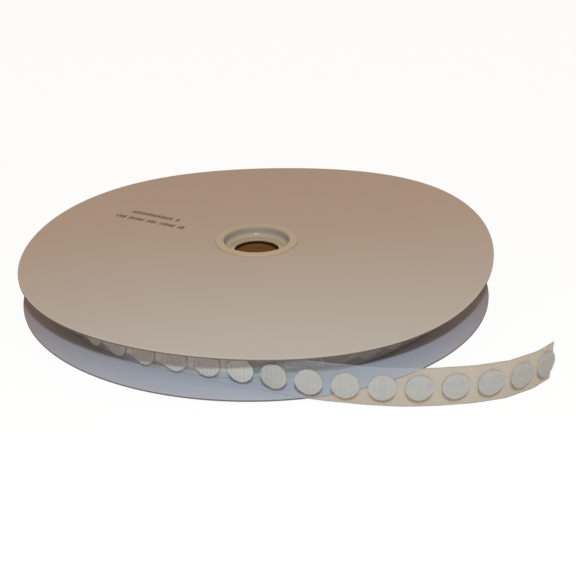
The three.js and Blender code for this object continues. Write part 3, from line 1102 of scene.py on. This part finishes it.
class DOTROLL_OT_ink(Operator):
    """Two short rows of plain ink marks on the upper board"""

    bl_idname = "dotroll.ink"
    bl_label = "Ink Marks"

    def execute(self, context):
        reel = context.scene.dotroll_reel
        lift = board_lift(reel, *TOP_RIM)
        chance = random.Random(7)
        points, faces = [], []
        for row in INK_ROWS:
            start, end = (Vector(spot) for spot in row)
            run = (end - start).normalized()
            across = Vector((-run.y, run.x))
            travelled = 0.0
            while travelled < (end - start).length:
                width = chance.uniform(0.0012, 0.0030)
                tall = chance.uniform(0.0038, 0.0054)
                middle = start + run * (travelled + width / 2)
                self.mark(points, faces, reel, lift, middle, run * width / 2, across * tall / 2)
                travelled += width + chance.choice(INK_GAPS)
        finish = ink_finish(context.scene.dotroll_finish.ink)
        marks = link("ink_marks", meshed("ink_marks", points, faces), [finish])
        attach(marks, "flanges")
        return {"FINISHED"}

    @staticmethod
    def mark(points, faces, reel, lift, middle, half_width, half_height):
        """A thin block of ink that lies on the board."""
        first = len(points)
        for above in (0.00001, 0.00003):
            for side, end in ((-1, -1), (1, -1), (1, 1), (-1, 1)):
                spot = middle + half_width * side + half_height * end
                level = CORE_HIGH.z + reel.board_thickness + above
                level += lift(atan2(spot.y, spot.x), spot.length)
                points.append((spot.x + REEL_AXIS.x, spot.y + REEL_AXIS.y - reel.board_play, level))
        low = range(first, first + 4)
        faces.append(tuple(reversed(low)))
        faces.append(tuple(spot + 4 for spot in low))
        for here, after in zip(low, (*low[1:], first)):
            faces.append((here, after, after + 4, here + 4))


class DOTROLL_OT_stage(Operator):
    """Pale floor, a small lamp above the camera, light from all round, and the camera"""

    bl_idname = "dotroll.stage"
    bl_label = "Stage"

    def execute(self, context):
        studio = context.scene.dotroll_studio
        context.scene.view_settings.view_transform = "Standard"
        self.floor()
        self.world(context, studio)
        self.lamp(context, studio)
        self.camera(context)
        return {"FINISHED"}

    @staticmethod
    def seen(tree):
        """1 for the rays that show the background: the camera's own, and those by gloss or glass."""
        path = tree.node("ShaderNodeLightPath").socket.node
        names = ("Is Camera Ray", "Is Glossy Ray", "Is Transmission Ray")
        camera, glossy, through = (Value(tree, path.outputs[name]) for name in names)
        return tree.reckon("MINIMUM", camera + glossy + through, 1.0)

    def floor(self):
        half = 6.0
        white_share = 0.92
        points = [(x * half, y * half, 0) for x, y in ((-1, -1), (1, -1), (1, 1), (-1, 1))]
        finish = Finish("pale_floor")
        grain = finish.noise(scale=3.0, detail=2.0)
        sockets = {"Base Color": finish.shade(0.98 + grain * 0.02, tone(244, 244, 244)), "Roughness": 0.9}
        matt = finish.node("ShaderNodeBsdfPrincipled", {}, sockets)
        white = finish.node("ShaderNodeEmission", {}, {"Color": WHITE, "Strength": 1.0})
        through = finish.node("ShaderNodeLightPath", output="Transparent Depth")
        bare = 1.0 - finish.smooth_step(through, 0.0, 1.0)
        sockets = {0: self.seen(finish) * bare * white_share, 1: matt, 2: white}
        shown = finish.node("ShaderNodeMixShader", {}, sockets)
        finish.node("ShaderNodeOutputMaterial", {}, {"Surface": shown})
        floor = link("floor", meshed("floor", points, [(0, 1, 2, 3)]), [finish.material])

    def world(self, context, studio):
        world = bpy.data.worlds.new("studio")
        world.use_nodes = True
        world.node_tree.nodes.clear()
        tree = Tree(world.node_tree)
        fill, white = (
            tree.node("ShaderNodeBackground", {}, {"Color": tint, "Strength": strength})
            for tint, strength in (((*studio.fill_tint, 1), studio.fill_strength), (WHITE, 1.0))
        )
        shown = tree.node("ShaderNodeMixShader", {}, {0: self.seen(tree), 1: fill, 2: white})
        tree.node("ShaderNodeOutputWorld", {}, {"Surface": shown})
        context.scene.world = world

    @staticmethod
    def lamp(context, studio):
        """A small square lamp that points at the foot of the reel's axis."""
        light = bpy.data.lights.new("key", "AREA")
        light.energy = studio.key_power
        light.size = studio.key_size
        light.color = studio.key_tint
        lamp = bpy.data.objects.new("key", light)
        lamp.location = REEL_AXIS.to_3d() + Vector(studio.key_place)
        lamp.rotation_euler = Vector(studio.key_place).to_track_quat("Z", "Y").to_euler()
        context.scene.collection.objects.link(lamp)

    @staticmethod
    def camera(context):
        """The camera looks at the foot of the reel's axis, and its aim is then turned a little."""
        data = bpy.data.cameras.new("camera")
        data.lens = data.sensor_width * CAMERA_FOCUS
        data.clip_start = 0.01
        camera = bpy.data.objects.new("camera", data)
        foot = Matrix.Translation(REEL_AXIS.to_3d())
        tilt = Matrix.Rotation(pi / 2 - CAMERA_ELEVATION, 4, "X")
        away = Matrix.Translation((0, 0, CAMERA_DISTANCE))
        camera.matrix_world = foot @ tilt @ away @ Euler(CAMERA_TURNS, "ZXY").to_matrix().to_4x4()
        context.scene.collection.objects.link(camera)
        context.scene.camera = camera


STEPS = (
    DOTROLL_OT_stage, DOTROLL_OT_boards, DOTROLL_OT_bushes, DOTROLL_OT_core,
    DOTROLL_OT_winding, DOTROLL_OT_strip, DOTROLL_OT_dots, DOTROLL_OT_ink,
)

GROUPS = {
    "dotroll_reel": DotRollReel, "dotroll_strip": DotRollStrip,
    "dotroll_finish": DotRollFinish, "dotroll_studio": DotRollStudio,
}


class DOTROLL_PT_build(Panel):
    """Lists the sizes and the steps of the roll"""

    bl_idname = "DOTROLL_PT_build"
    bl_label = "Dot Roll"
    bl_space_type = "VIEW_3D"
    bl_region_type = "UI"
    bl_category = "Dot Roll"

    def draw(self, context):
        for step in STEPS:
            self.layout.operator(step.bl_idname)
        for label in GROUPS:
            group = getattr(context.scene, label)
            column = self.layout.column(align=True)
            for name in group.bl_rna.properties.keys():
                if name not in ("rna_type", "name"):
                    column.prop(group, name)


CLASSES = (*GROUPS.values(), *STEPS, DOTROLL_PT_build)


def register():
    for kind in CLASSES:
        bpy.utils.register_class(kind)
    for name, kind in GROUPS.items():
        setattr(bpy.types.Scene, name, PointerProperty(type=kind))


def unregister():
    for name in GROUPS:
        delattr(bpy.types.Scene, name)
    for kind in reversed(CLASSES):
        bpy.utils.unregister_class(kind)


def main():
    register()
    bpy.ops.dotroll.stage()
    bpy.ops.dotroll.boards()
    bpy.ops.dotroll.bushes()
    bpy.ops.dotroll.core()
    bpy.ops.dotroll.winding()
    bpy.ops.dotroll.strip()
    bpy.ops.dotroll.dots()
    bpy.ops.dotroll.ink()


if __name__ == "__main__":
    main()
